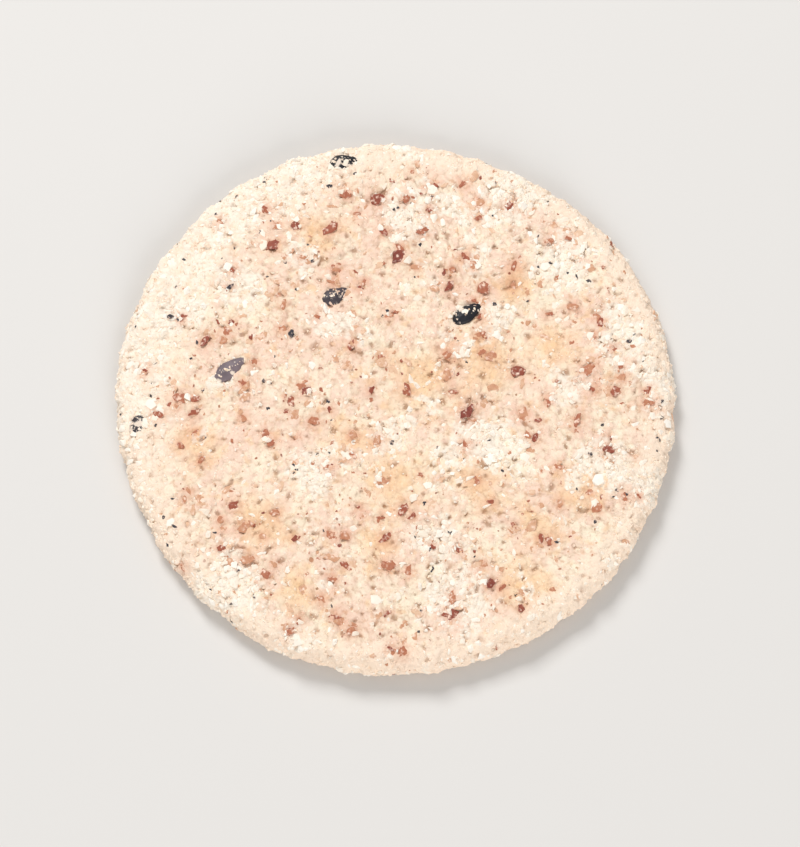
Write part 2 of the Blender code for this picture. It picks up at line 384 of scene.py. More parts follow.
def crumb_relief(points, up):
    """Height above the smooth disc: domes sqrt(1 - d^2) over two sizes of granule, each scaled by
    its own random number, plus fine noise and less pores. The underside keeps a fifth of it and
    is raised a little. Returns the height, each granule's tone, how deep between granules the point
    lies, which the colour darkens as painted shade, and how deep in a pore."""
    coarse, coarse_gap, coarse_own = granules(points, COARSE_GRANULE, 40)
    fine, fine_gap, fine_own = granules(points, FINE_GRANULE, 60)
    rough = 0.9 + 0.35 * patch_mask(points) + 0.1 * rim_mask(points)
    coarse_dome = np.sqrt(np.clip(1 - coarse**2, 0, 1)) * (0.3 + 0.7 * coarse_own)
    fine_dome = np.sqrt(np.clip(1 - fine**2, 0, 1)) * (0.4 + 0.6 * fine_own)
    pore = smooth_step(0.4, 0.66, noise(points, 0.7 * MM, 90))
    collar = seed_collar(points) * (0.4 + 0.6 * fine_own)
    height = rough * (COARSE_HEIGHT * (coarse_dome - 0.5) + FINE_HEIGHT * (fine_dome - 0.5)
                      + GRAIN_HEIGHT * noise(points, 0.42 * MM, 80) - PORE_DEPTH * pore)
    height = height + COLLAR_HEIGHT * collar
    # How deep between granules: only the colour uses it, darkening these gaps as painted shade.
    crease = np.clip(1 - coarse_gap / 0.2, 0, 1) * 0.55 + np.clip(1 - fine_gap / 0.25, 0, 1) * 0.45
    flat = smooth_step(-0.6, -0.95, up[:, 2])
    height = height * (1 - 0.8 * flat) + UNDERSIDE_LIFT * flat
    return height, 0.4 * coarse_own + 0.6 * fine_own, crease * (1 - collar), pore * (1 - 0.8 * flat)


relief, tone, crease, pore = crumb_relief(smooth_points, smooth_outward)
dough_points = smooth_points + smooth_outward * relief[:, None]
dough_points[:, 2] = np.maximum(dough_points[:, 2], LOWEST_DOUGH)
print("relief from", round(relief.min() / MM, 3), "to", round(relief.max() / MM, 3), "mm")


# %% Put a surface into Blender
def add_object(name, data):
    """An object of this mesh, lamp or camera, put into the scene."""
    made = bpy.data.objects.new(name, data)
    bpy.context.scene.collection.objects.link(made)
    return made


def carry(mesh, **values):
    """Named values that the mesh carries, one number for each point."""
    for title, numbers in values.items():
        mesh.attributes.new(title, "FLOAT", "POINT").data.foreach_set("value", numbers)


def new_piece(name, points, triangles, smooth=True, **values):
    """A mesh object at the origin, with its place in its points and named values at each point."""
    mesh = bpy.data.meshes.new(name)
    mesh.from_pydata(points.tolist(), [], triangles.tolist())
    carry(mesh, **values)
    (mesh.shade_smooth if smooth else mesh.shade_flat)()
    print(name + ":", len(triangles), "triangles")
    return add_object(name, mesh)


patch, rim = patch_mask(smooth_points), rim_mask(smooth_points)
body = new_piece("cracker_body", dough_points, disc_triangles,
                 tone=tone, crease=crease, pore=pore, patch=patch, rim=rim)
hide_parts("cracker")

# %% [markdown]
# ## Small shapes to strew
#
# Grits, crumbs, flakes and seeds are all a ball that has been squashed, bent or chipped. One ball
# made of twisted rows serves them all. With five points a row and two rows it has 20 faces, which
# is enough for a crumb a few tenths of a millimetre wide.


# %% A ball of twisted rows
def ball(around, rows):
    """Points on a ball of diameter 1 from two parameters, the turn and the rise. Rows lie between
    two poles, and each is turned half a step from the last, so all triangles are nearly even. Two
    rows lie where an icosahedron has its corners."""
    rise = np.pi * (np.arange(rows) + 1) / (rows + 1)
    if rows == 2:
        rise = np.arccos([1 / math.sqrt(5), -1 / math.sqrt(5)])
    row = np.repeat(np.arange(rows), around)
    turn = (np.tile(np.arange(around), rows) + row / 2) / around * math.tau
    points = np.stack([np.sin(rise[row]) * np.cos(turn), np.sin(rise[row]) * np.sin(turn),
                       np.cos(rise[row])], axis=1)
    step = np.arange(around)
    after = (step + 1) % around
    bands = [np.concatenate([
        np.stack([k * around + step, (k + 1) * around + step, k * around + after], axis=1),
        np.stack([k * around + after, (k + 1) * around + step, (k + 1) * around + after], axis=1),
    ]) for k in range(rows - 1)]
    top, base = rows * around, rows * around + 1
    caps = [np.stack([step, after, step * 0 + top], axis=1),
            np.stack([(rows - 1) * around + after, (rows - 1) * around + step,
                      step * 0 + base], axis=1)]
    return np.concatenate([points, [[0, 0, 1], [0, 0, -1]]]) / 2, np.concatenate(bands + caps)


# %% [markdown]
# Blender could scatter copies with particles, but those don't survive as plain mesh. Here the
# places are drawn from the disc's own triangles, so every grain sits on the real relief and leans
# with it, on the top, round the rim and underneath alike.


# %% Draw places on the dough
def strew(rng, count, weight):
    """Random places on the dough and its smooth outward direction there. A triangle is drawn in
    proportion to its area times weight, and the place is a random blend of its corners."""
    odds = np.linalg.norm(face_sizes(dough_points, disc_triangles), axis=1) * weight
    picked = disc_triangles[rng.choice(len(odds), count, p=odds / odds.sum())]
    blend = rng.dirichlet((1, 1, 1), count)
    place = np.einsum("nk,nkd->nd", blend, dough_points[picked])
    up = np.einsum("nk,nkd->nd", blend, smooth_outward[picked])
    return place, up / np.linalg.norm(up, axis=1, keepdims=True)


LOWEST_GRAIN = 0.004 * MM


def copies(shape, place, up, turn, size, chip=0.0, rng=None):
    """Copies of a small shape. Each is sized along its own three axes, turned about its outward
    direction and put in place: p = place + x * side + y * fore + z * up. Each point first moves in
    or out by up to the share chip."""
    points, triangles = shape
    guide = np.where(np.abs(up[:, 1:2]) > 0.9, [[0.0, 0.0, 1.0]], [[0.0, 1.0, 0.0]])
    east = np.cross(guide, up)
    east /= np.linalg.norm(east, axis=1, keepdims=True)
    north = np.cross(up, east)
    cos, sin = np.cos(turn)[:, None], np.sin(turn)[:, None]
    side, fore = cos * east + sin * north, cos * north - sin * east
    local = points[None] * size[:, None, :]
    if chip:
        local = local * (1 + chip * rng.uniform(-1, 1, (len(place), len(points), 1)))
    placed = (place[:, None] + local[:, :, 0:1] * side[:, None] + local[:, :, 1:2] * fore[:, None]
              + local[:, :, 2:3] * up[:, None])
    placed[:, :, 2] = np.maximum(placed[:, :, 2], LOWEST_GRAIN)
    offset = np.arange(len(place))[:, None, None] * len(points)
    return placed.reshape(-1, 3), (triangles[None] + offset).reshape(-1, 3)


def grain_sizes(rng, count, smallest, spread, power, uneven):
    """Three sizes for each grain: smallest + spread * r^power, with r random from 0 to 1, times a
    random factor for each axis between the two ends of uneven."""
    return (smallest + spread * rng.random((count, 1)) ** power) * rng.uniform(*uneven, (count, 3))


def face_means(values):
    """A value at each triangle: the mean of its corners."""
    return values[disc_triangles].mean(axis=1)


# The last of these is 1 on the top and the sides, and 0 underneath.
patch_faces, rim_faces = face_means(patch), face_means(rim)
top_faces = smooth_step(-0.75, -0.2, face_means(smooth_outward[:, 2]))


def top_places(x, y, points):
    """Places above these spots, in metres, on the disc or its relief: the nearest point on top."""
    on_top = np.flatnonzero(smooth_outward[:, 2] > 0.3)
    flat = points[on_top, :2]
    nearest = [on_top[np.argmin(np.hypot(*(flat - spot).T))] for spot in zip(x, y)]
    return points[nearest], smooth_outward[nearest]


# %% [markdown]
# ## Sesame seeds
#
# A sesame seed is a flat drop with a blunt end and a pointed one, and a faint ridge along its back.
# Its skin is a little wrinkled, so the outline isn't perfectly smooth either.


# %% Sesame seeds
def seed_shape():
    """A drop from a ball: its width narrows towards the point as 1 - 0.75 x^1.2, its back is
    crowned by a faint ridge, and noise wrinkles it by a few hundredths."""
    points, triangles = ball(28, 17)
    points = points * (1 + 0.05 * noise(points, 0.16, 95)[:, None])
    x, y, z = points.T
    narrowing = 1 - 0.75 * np.clip(x + 0.15, 0, None) ** 1.2
    ridge = 1 + 0.10 * np.exp(-((y / 0.10) ** 2))
    return np.stack([x, y * narrowing, z * narrowing * ridge], axis=1), triangles


seed_place, seed_up = top_places(SEEDS[:, 0] * MM, SEEDS[:, 1] * MM, smooth_points)
seed_place = seed_place + seed_up * SEED_DEPTH * (0.5 - SEEDS[:, 3:4])
seed_size = np.stack([SEEDS[:, 4] * MM, np.full(len(SEEDS), SEED_WIDTH),
                      np.full(len(SEEDS), SEED_DEPTH)], axis=1)
seed_points, seed_triangles = copies(
    seed_shape(), seed_place, seed_up, np.radians(SEEDS[:, 2]), seed_size)
SEED_FILM = (0.0, 0.2, 0.62, 0.0, 0.1)
SEED_DUST = (-0.02, 0.02, 0.06, 0.08, 0.14)
each = len(seed_points) // len(SEEDS)
seeds = new_piece("sesame_seeds", seed_points, seed_triangles,
                  film=np.repeat(SEED_FILM, each), dust=np.repeat(SEED_DUST, each))

# %% [markdown]
# ## Crumbs
#
# Loose grains of the same dough cling to the surface. They roughen its outline and throw the
# smallest shadows. The larger ones lie thickest on the rim and in the pale patches, few are
# underneath, and some stick to the backs of the seeds. A finer meal covers everything else.

# %% Crumbs
CRUMB_COUNT = 7000
ON_EACH_SEED = 26
SIZE_ON_SEED = 0.75
CRUMB_SUNK = 0.3
CRUMB_CHIP = 0.38
crumb_rng = np.random.default_rng(21)
crumb_place, crumb_up = strew(
    crumb_rng, CRUMB_COUNT, (0.25 + 0.75 * top_faces) * (0.5 + patch_faces + 1.1 * rim_faces))
seed_outward = outward(seed_points, seed_triangles)
backs = np.flatnonzero(seed_outward[:, 2] > 0.45)
stuck = crumb_rng.choice(backs, ON_EACH_SEED * len(SEEDS), replace=False)
crumb_place = np.concatenate([crumb_place, seed_points[stuck]])
crumb_up = np.concatenate([crumb_up, seed_outward[stuck]])
crumb_count = len(crumb_place)
crumb_size = grain_sizes(crumb_rng, crumb_count, smallest=0.2 * MM, spread=0.42 * MM,
                         power=1.5, uneven=(0.7, 1.25))
crumb_size[CRUMB_COUNT:] *= SIZE_ON_SEED


def crumb_piece(name, place, up, size, rng):
    """Angular crumbs at these places, four fifths sunk, each with its own tone and flour."""
    count = len(place)
    grain = ball(5, 2)
    points, triangles = copies(grain, place - up * size[:, 2:3] * CRUMB_SUNK, up,
                               rng.uniform(0, math.tau, count), size, CRUMB_CHIP, rng)
    tone, flour = (np.repeat(rng.uniform(0, 1, count), len(grain[0])) for _ in range(2))
    return new_piece(name, points, triangles, smooth=False, tone=tone, crease=tone * 0,
                     pore=tone * 0, patch=0.7 * flour, rim=rim_mask(points))


crumbs = crumb_piece("crumbs", crumb_place, crumb_up, crumb_size, crumb_rng)

# %% Fine meal
MEAL_COUNT = 9600
meal_place, meal_up = strew(crumb_rng, MEAL_COUNT, 0.12 + 0.88 * top_faces)
meal_size = grain_sizes(crumb_rng, MEAL_COUNT, smallest=0.13 * MM, spread=0.17 * MM,
                        power=1, uneven=(0.7, 1.3))
meal = crumb_piece("fine_meal", meal_place, meal_up, meal_size, crumb_rng)

# %% [markdown]
# ## White rice grits
#
# Broken rice shows as angular white grains, more than half sunk, that crowd in the patches. They
# are larger than the crumbs, and flat shading keeps the broken faces. The first six are placed on
# the blackest seed, where grains hide part of it.

# %% White rice grits
GRIT_COUNT = 3400
ON_SEED = np.array([(5.5, 9.9), (5.9, 9.6), (6.2, 9.3), (6.5, 9.0), (6.8, 8.8), (8.3, 9.9)])
ON_SEED_SIZE = np.array([0.95, 0.75, 0.45]) * MM
GRIT_SUNK = 0.2
GRIT_CHIP = 0.45
grit_rng = np.random.default_rng(22)
grit_place, grit_up = strew(
    grit_rng, GRIT_COUNT,
    (0.15 + 0.85 * top_faces) * (0.2 + 3.0 * patch_faces**1.5 + 0.2 * rim_faces))
seed_backs = seed_points[seed_outward[:, 2] > 0.2]
for number, spot in enumerate(ON_SEED * MM):
    grit_place[number] = seed_backs[np.argmin(np.hypot(*(seed_backs[:, :2] - spot).T))]
    grit_up[number] = (0, 0, 1)
grit_size = grain_sizes(grit_rng, GRIT_COUNT, smallest=0.26 * MM, spread=0.6 * MM,
                        power=2, uneven=(0.5, 1.5)) * [1, 1, 0.7]
grit_size[:len(ON_SEED)] = ON_SEED_SIZE
grit_place = grit_place - grit_up * grit_size[:, 2:3] * GRIT_SUNK
grit_points, grit_triangles = copies(
    ball(5, 2), grit_place, grit_up, grit_rng.uniform(0, math.tau, GRIT_COUNT),
    grit_size, GRIT_CHIP, grit_rng)
grits = new_piece("white_grits", grit_points, grit_triangles, smooth=False,
                  tone=np.repeat(grit_rng.uniform(0, 1, GRIT_COUNT), len(ball(5, 2)[0])))

# %% [markdown]
# ## Bran flakes
#
# The red-brown flecks are shreds of bran, thin and longer than wide, lying in the surface. The
# largest ones are placed as on the real top, and the rest are strewn in loose clumps. The strewn
# ones stand only a few hundredths of a millimetre proud and the placed ones a little over a tenth,
# so the granules bury parts of them and break up their outlines. Each has its own tone, from dark
# red through orange-brown to a pale one that dough has soaked into. The blackest small ones lie
# mostly among the grits and are partly scraps of sesame skin and partly painted shade in the gaps
# between grits. Each row holds a large flake's place, its length, its turn in degrees and its tone,
# counted from dark red. The last three are black scraps.

# %% Bran flakes
LARGE_FLAKES = np.array([
    (-11.8, 15.9, 1.6, 20, 0.1), (-18.4, 5.9, 1.3, 60, 0.1), (-14.6, 1.0, 1.5, 50, 0.6),
    (-1.7, 20.7, 1.5, 30, 0.1), (1.1, 20.7, 1.0, 80, 0.3), (-6.3, 17.4, 1.5, 60, 0.2),
    (-9.8, 18.0, 1.1, 10, 0.1), (0.3, 14.7, 1.6, 110, 0.0), (7.2, -1.4, 1.7, 55, 0.0),
    (11.8, 2.8, 1.5, 30, 0.1), (5.7, 0.7, 1.1, 0, 0.3), (17.5, -2.3, 1.6, 75, 0.3),
    (19.2, 1.0, 1.4, 10, 0.2), (21.2, 0.7, 1.3, 40, 0.2), (-6.0, -16.0, 1.5, 170, 0.6),
    (-0.9, -14.1, 1.4, 40, 0.2), (0.9, -11.1, 1.3, 60, 0.2), (-11.5, -11.7, 1.1, 0, 0.4),
    (-12.3, -17.8, 1.0, 90, 0.3), (-14.1, -16.3, 1.4, 20, 0.5), (5.2, -21.7, 1.5, 5, 0.1),
    (9.2, -18.7, 1.3, 45, 0.0), (-1.1, -8.4, 1.0, 20, 0.5), (5.4, 11.6, 1.4, 60, 0.1),
    (5.2, 4.5, 1.8, 25, 0.4), (2.7, 17.3, 1.1, 30, 0.3), (6.6, 22.4, 1.1, 50, 0.3),
    (15.0, 8.8, 1.0, 0, 0.3), (-14.4, -12.9, 1.4, 35, 0.5), (13.5, -3.9, 1.1, 60, 0.1),
    (20.4, -5.1, 1.3, 150, 0.1), (18.7, 3.0, 1.8, 30, 0.4), (24.4, -0.4, 1.5, 0, 0.4),
    (13.9, -14.1, 0.9, 90, 0.2), (18.7, -9.6, 0.8, 0, 0.4), (-7.8, -2.2, 1.3, 0, 0.4),
    (-4.0, -3.7, 1.0, 90, 0.5), (-20.7, -4.7, 1.0, 140, 0.3), (-18.6, -6.3, 1.0, 45, 0.4),
    (-1.3, -12.0, 0.9, 0, 0.3), (-4.2, -23.4, 1.1, 45, 0.4), (-0.4, -25.1, 0.9, 150, 0.1),
    (12.0, -21.2, 0.8, 60, 0.1), (8.3, 18.7, 0.9, 20, 0.3), (11.4, 11.8, 1.3, 110, 0.5),
    (-21.7, 8.5, 0.7, 0, -0.2), (-16.1, 11.5, 0.8, 30, -0.2), (-10.0, 6.7, 0.7, 120, -0.2),
])
FLAKE_COUNT = 1150
SCRAP_AND_SHADE_COUNT = 130
DARK_RED_TONE = 0.2
LARGE_FLAKE_LIFT = 0.08 * MM
FLAKE_SUNK = 0.02 * MM
FLAKE_CHIP = 0.42
FLAKE_SMALLEST, FLAKE_SPREAD = 0.26 * MM, 1.05 * MM
FLAKE_WIDTHS = (0.35, 0.85)
SCRAP_AND_SHADE_LENGTHS = (0.28 * MM, 0.6 * MM)
THINNEST_FLAKE = 0.14 * MM


def flake_shape():
    """A thin chip from a ball: its upper and lower faces are cut off flat, 0.3 of its depth from
    the middle."""
    points, triangles = ball(8, 3)
    points[:, 2] = np.clip(points[:, 2], -0.3, 0.3)
    return points, triangles


flake_rng = np.random.default_rng(23)
large_place, large_up = top_places(LARGE_FLAKES[:, 0] * MM, LARGE_FLAKES[:, 1] * MM, dough_points)
large_place = large_place + large_up * LARGE_FLAKE_LIFT
clumps = smooth_step(-0.3, 0.5, face_means(noise(smooth_points, 4.5 * MM, 77)))
small_place, small_up = strew(
    flake_rng, FLAKE_COUNT,
    (0.5 + 0.5 * top_faces) * (1.1 - 0.9 * rim_faces) * (0.4 + 1.2 * clumps))
# The first ones are black specks among the grits: partly scraps of sesame skin, partly painted shade
# between the grains.
small_place[:SCRAP_AND_SHADE_COUNT], small_up[:SCRAP_AND_SHADE_COUNT] = strew(
    flake_rng, SCRAP_AND_SHADE_COUNT, top_faces * (0.3 + 1.4 * patch_faces))
small_length = FLAKE_SMALLEST + FLAKE_SPREAD * flake_rng.random(FLAKE_COUNT) ** 2.1
small_tone = DARK_RED_TONE + (1 - DARK_RED_TONE) * flake_rng.random(FLAKE_COUNT) ** 0.62
small_length[:SCRAP_AND_SHADE_COUNT] = flake_rng.uniform(*SCRAP_AND_SHADE_LENGTHS, SCRAP_AND_SHADE_COUNT)
small_tone[:SCRAP_AND_SHADE_COUNT] = 0.0
flake_place = np.concatenate([large_place, small_place])
flake_up = np.concatenate([large_up, small_up])
flake_length = np.concatenate([LARGE_FLAKES[:, 2] * MM, small_length])
flake_turn = np.concatenate([np.radians(LARGE_FLAKES[:, 3]),
                             flake_rng.uniform(0, math.tau, FLAKE_COUNT)])
flake_width = flake_length * flake_rng.uniform(*FLAKE_WIDTHS, len(flake_length))
flake_size = np.stack([flake_length, flake_width, THINNEST_FLAKE + flake_length * 0.1], axis=1)
flake_points, flake_triangles = copies(
    flake_shape(), flake_place - flake_up * FLAKE_SUNK, flake_up, flake_turn, flake_size,
    FLAKE_CHIP, flake_rng)
flake_tone = np.concatenate([DARK_RED_TONE + LARGE_FLAKES[:, 4], small_tone])
flakes = new_piece("bran_flakes", flake_points, flake_triangles, smooth=False,
                   tone=np.repeat(flake_tone, len(flake_shape()[0])))

# %% [markdown]
# ## Stains and toasted areas
#
# Wet bran gives off colour, so the dough round each larger flake is stained a soft orange-brown.
# Between them some areas have toasted to a yellower orange. A wide colour noise could stand for
# both, but the stains belong to the flakes and the toasted areas to the real top. So both are
# worked out at each point, and the dough pieces carry them.

# %% Stains and toasted areas
STAINS_FROM = 0.72 * MM
STAINS_BELOW_TONE = 0.75
ABOVE_EDGE = 1.5 * MM
TOASTED = (
    (8.2, 4.0, 4.6), (0.0, -8.0, 4.2), (-4.6, -4.6, 3.2), (-12.4, -12.6, 3.4), (12.4, -19.0, 3.6),
    (8.0, -9.0, 3.6), (18.0, -9.2, 3.0), (2.6, 1.6, 4.4), (-1.4, -14.6, 2.6), (-7.4, 17.2, 3.0),
    (15.0, 5.2, 3.2), (-19.4, -4.6, 2.8), (11.6, 11.6, 2.6), (-8.8, -19.6, 2.6), (13.6, -12.6, 2.6),
)
# The flakes that stain: long enough, on the top and not too pale.
strong = ((flake_length > STAINS_FROM) & (flake_place[:, 2] > ON_TOP)
          & (flake_tone < STAINS_BELOW_TONE))


def flake_stain(points):
    """1 at a larger flake, fading outwards as exp(-(d / (0.8 length))^2), with d the distance to
    it seen from above. Where stains meet, the stronger counts."""
    stain = np.zeros(len(points))
    above = np.flatnonzero(points[:, 2] > ABOVE_EDGE)
    x, y = points[above, 0], points[above, 1]
    for place, length in zip(flake_place[strong], flake_length[strong]):
        squared = ((x - place[0]) ** 2 + (y - place[1]) ** 2) / (0.8 * length) ** 2
        stain[above] = np.maximum(stain[above], np.exp(-squared))
    return stain


def toasted(points):
    """1 in the middle of a toasted area, fading to 0 at its reach, with edges torn by noise."""
    torn = 1.6 * MM * noise(points, 2.6 * MM, 78) + 0.8 * MM * noise(points, 1.0 * MM, 79)
    mask = np.zeros(len(points))
    for x, y, reach in TOASTED:
        away = np.hypot(points[:, 0] - x * MM, points[:, 1] - y * MM) + torn
        mask = np.maximum(mask, 1 - smooth_step(0.1 * reach * MM, 1.2 * reach * MM, away))
    return mask * (points[:, 2] > ABOVE_EDGE)


for piece in (body, crumbs, meal):
    spots = np.empty(3 * len(piece.data.vertices))
    piece.data.vertices.foreach_get("co", spots)
    spots = spots.reshape(-1, 3)
    carry(piece.data, stain=flake_stain(spots), toast=toasted(spots))
print(np.count_nonzero(strong), "flakes stain the dough,", len(TOASTED), "toasted areas")

# %% [markdown]
# ## Writing materials as sums
#
# A material is a small formula over the surface. Adding each Math node by hand hides it, so one
# class wraps a node's output and lets Python's own signs add the nodes. Every other node comes from
# one method that takes its type, its settings and what goes into its sockets.


# %% A socket that can be added, multiplied and mixed
class Wire:
    """The output of a node. A sum, difference or product with it adds a Math node."""

    def __init__(self, tree, socket):
        self.tree, self.socket = tree, socket

    def node(self, kind, settings=None, inputs=None, output=0):
        """A new node in the same tree: its settings first, then its sockets' values or links."""
        made = self.tree.nodes.new(kind)
        for name, value in (settings or {}).items():
            if name == "stops":
                ramp = made.color_ramp
                while len(ramp.elements) < len(value):
                    ramp.elements.new(0.5)
                for element, (position, colour) in zip(ramp.elements, value):
                    element.position, element.color = position, colour
            else:
                setattr(made, name, value)
        for name, value in (inputs or {}).items():
            if isinstance(value, Wire):
                self.tree.links.new(value.socket, made.inputs[name])
            else:
                made.inputs[name].default_value = value
        return Wire(self.tree, made.outputs[output]) if made.outputs else None

    def math(self, operation, *values):
        """A Math node with this operation on these values, in their order."""
        return self.node("ShaderNodeMath", {"operation": operation}, dict(enumerate(values)))

    def __add__(self, other):
        return self.math("ADD", self, other)

    def __sub__(self, other):
        return self.math("SUBTRACT", self, other)

    def __rsub__(self, other):
        return self.math("SUBTRACT", other, self)

    def __mul__(self, other):
        return self.math("MULTIPLY", self, other)

    __radd__, __rmul__ = __add__, __mul__

    def between(self, low, high):
        """0 at low, 1 at high and a soft curve between."""
        return self.node("ShaderNodeMapRange", {"interpolation_type": "SMOOTHSTEP"},
                         {"Value": self, "From Min": low, "From Max": high})

    def mix(self, first, second):
        """The first colour where this is 0 and the second where it is 1. A Mix node keeps its
        factor in socket 0, its two colours in 6 and 7, and the mixed colour in output 2."""
        return self.node("ShaderNodeMix", {"data_type": "RGBA"}, {0: self, 6: first, 7: second}, 2)

    def ramp(self, *stops):
        """A colour ramp over this value, from (position, colour) stops."""
        return self.node("ShaderNodeValToRGB", {"stops": stops}, {"Fac": self})

    def speckle(self, spacing, seed=0.0):
        """On a place: distance to the nearest of points this far apart, as a share of that, and
        two random numbers of that point."""
        near = self.node("ShaderNodeTexVoronoi", {"voronoi_dimensions": "4D"},
                         {"Vector": self, "W": seed, "Scale": 1 / spacing})
        own = self.node("ShaderNodeSeparateColor", {},
                        {"Color": Wire(self.tree, near.socket.node.outputs["Color"])})
        return near, own, Wire(self.tree, own.socket.node.outputs["Green"])

    def wavered(self, size, depth, seed):
        """On a place: the place moved by noise, up to half of depth each way."""
        noisy = self.node("ShaderNodeTexNoise", {"noise_dimensions": "4D"},
                          {"Vector": self, "W": seed, "Scale": 1 / size, "Detail": 2.0}, "Color")
        return self.node("ShaderNodeVectorMath", {"operation": "MULTIPLY_ADD"},
                         {0: noisy, 1: (depth, depth, depth), 2: self})

    def cloud(self, size, detail=2.0, seed=0.0):
        """On a place: soft noise of this size in metres."""
        return self.node("ShaderNodeTexNoise", {"noise_dimensions": "4D"},
                         {"Vector": self, "W": seed, "Scale": 1 / size, "Detail": detail})


# %% A material's first and last steps
def start_finish(name):
    """An empty material, with the place on the object as its first wire."""
    material = bpy.data.materials.new(name)
    material.use_nodes = True
    material.node_tree.nodes.clear()
    coordinates = material.node_tree.nodes.new("ShaderNodeTexCoord")
    return material, Wire(material.node_tree, coordinates.outputs["Object"])


def own_value(place, title):
    """A value that the mesh carries at each point."""
    return place.node("ShaderNodeAttribute", {"attribute_name": title}, {}, "Fac")


def close_finish(place, colour, roughness, bump=None, bump_height=0.0, **fixed):
    """The shader and the output. Only colour, roughness and the bump vary over the surface."""
    inputs = {"Base Color": colour, "Roughness": roughness, **fixed}
    if bump is not None:
        inputs["Normal"] = place.node("ShaderNodeBump", {}, {
            "Height": bump, "Strength": 1.0, "Distance": bump_height})
    shader = place.node("ShaderNodeBsdfPrincipled", {}, inputs, "BSDF")
    place.node("ShaderNodeOutputMaterial", {}, {"Surface": shader})


def put_on(material, *pieces):
    """Gives each piece this material."""
    for piece in pieces:
        piece.data.materials.append(material)
    print(material.name + ":", len(material.node_tree.nodes), "nodes, on",
          ", ".join(piece.name for piece in pieces))


def tint(red, green, blue):
    """A colour from a colour picker, 0 to 255, as the shader's linear numbers."""
    return tuple(((c / 255 + 0.055) / 1.055) ** 2.4 for c in (red, green, blue)) + (1.0,)


# %% [markdown]
# ## Dough
#
# The dough is matte and pale: cream where the meal is fine, peach to light orange where it has
# baked. Each granule has its own tone, which the mesh carries. The creases and pores get a warmer,
# darker colour as painted shade, the rim is creamy, the patches are floury, and specks of bran too
# small to model are painted in, along with pinholes that are dark dots of painted shade.

# %% Dough
CREAM = tint(250, 235, 210)
PEACH = tint(245, 214, 193)
ORANGE = tint(243, 206, 167)
TAN = tint(223, 180, 147)
FLOUR = tint(251, 240, 224)
STAIN = tint(216, 148, 112)
TOAST = tint(246, 202, 152)
RIM_CREAM = tint(251, 229, 207)
# The next colour is painted shade, darkening the creases between granules.
CREASE_SHADE = tint(184, 142, 106)
# The next colour is painted shade inside the pores.
PORE_SHADE = tint(156, 110, 78)
BRAN_SPECKS = (tint(142, 76, 56), tint(178, 118, 86), tint(216, 168, 132))
# The next colours are painted shade: dark dots for tiny holes that have no relief.
PINHOLE_SHADES = (tint(146, 104, 74), tint(178, 134, 100), tint(208, 166, 130))


def dough_finish(name):
    """Granule tone and clouds of several sizes blend cream, peach, orange and tan. Then the toasted
    areas, the rim, the flour, the stains and painted shade in the creases and pores are laid over
    them, and last two sizes of bran speck and pinholes of painted shade, all with wavering outlines."""
    material, place = start_finish(name)
    tone, crease, pore, patch, rim, stain, toast = (
        own_value(place, title)
        for title in ("tone", "crease", "pore", "patch", "rim", "stain", "toast"))
    slow, quick = place.cloud(4 * MM, 3.0, 1.0), place.cloud(0.55 * MM, 4.0, 2.0)
    warm = (tone * 0.5 + slow + quick * 0.6).between(0.76, 1.3)
    colour = warm.mix(CREAM, PEACH)
    colour = (place.cloud(1.5 * MM, 3.0, 3.0).between(0.54, 0.7) * 0.75).mix(colour, ORANGE)
    colour = (place.cloud(0.7 * MM, 3.0, 11.0).between(0.58, 0.72) * 0.7).mix(colour, TAN)
    colour = (toast * (0.35 + 0.5 * quick)).mix(colour, TOAST)
    colour = (rim * 0.85).mix(colour, RIM_CREAM)
    floury = (patch * 0.75 + place.cloud(0.7 * MM, 4.0, 4.0) * 1.6 - 0.8).between(0.18, 0.58)
    colour = (floury * 0.85).mix(colour, FLOUR)
    soaked = place.cloud(0.6 * MM, 3.0, 15.0).between(0.35, 0.6)
    colour = (stain * (0.25 + 0.4 * soaked)).mix(colour, STAIN)
    # Painted shade: the creases between granules are darkened, less so on the rim.
    colour = (crease * crease * (0.6 - 0.4 * rim)).mix(colour, CREASE_SHADE)
    # Painted shade: the pores are darkened, less so on the rim.
    colour = (pore * (0.65 - 0.35 * rim)).mix(colour, PORE_SHADE)
    wavering = place.wavered(0.3 * MM, 0.35 * MM, 12.0)
    bare = 0.95 - 0.7 * rim - 0.3 * patch
    # Two sizes of bran speck, then pinholes painted as dark dots of shade.
    for spacing, widest, seed, hues in ((0.6 * MM, 0.30, 5.0, BRAN_SPECKS),
                                        (1.3 * MM, 0.24, 6.0, BRAN_SPECKS),
                                        (0.8 * MM, 0.24, 14.0, PINHOLE_SHADES)):
        near, chosen, hue = wavering.speckle(spacing, seed)
        speck = (chosen * 0.9 - (0.9 - widest) - near).between(0.0, 0.07)
        colour = (speck * bare).mix(colour, hue.ramp(*zip((0.0, 0.45, 1.0), hues)))
    fine = place.cloud(0.14 * MM, 3.0, 7.0)
    grain = wavering.speckle(0.26 * MM, 13.0)[0]
    relief_in_shader = fine * 0.7 + quick * 0.7 - grain * 0.6
    close_finish(place, colour, 0.72 + 0.2 * quick, relief_in_shader, 0.1 * MM,
                 **{"Specular IOR Level": 0.3})
    return material


put_on(dough_finish("baked_rice_dough"), body, crumbs, meal)

# %% [markdown]
# ## Rice grits
#
# Broken rice is chalky white and a little smoother than the dough. Each grain leans to cream or to
# white.

# %% Rice grits
material, place = start_finish("white_rice")
tone = own_value(place, "tone")
colour = tone.mix(tint(244, 229, 210), tint(251, 244, 233))
close_finish(place, colour, 0.55 + 0.3 * place.cloud(0.4 * MM), place.cloud(0.2 * MM), 0.04 * MM)
put_on(material, grits)

# %% [markdown]
# ## Bran
#
# Bran is the dark skin of the rice. A flake's own tone picks its colour, and fine streaks and a
# film of flour break it up.

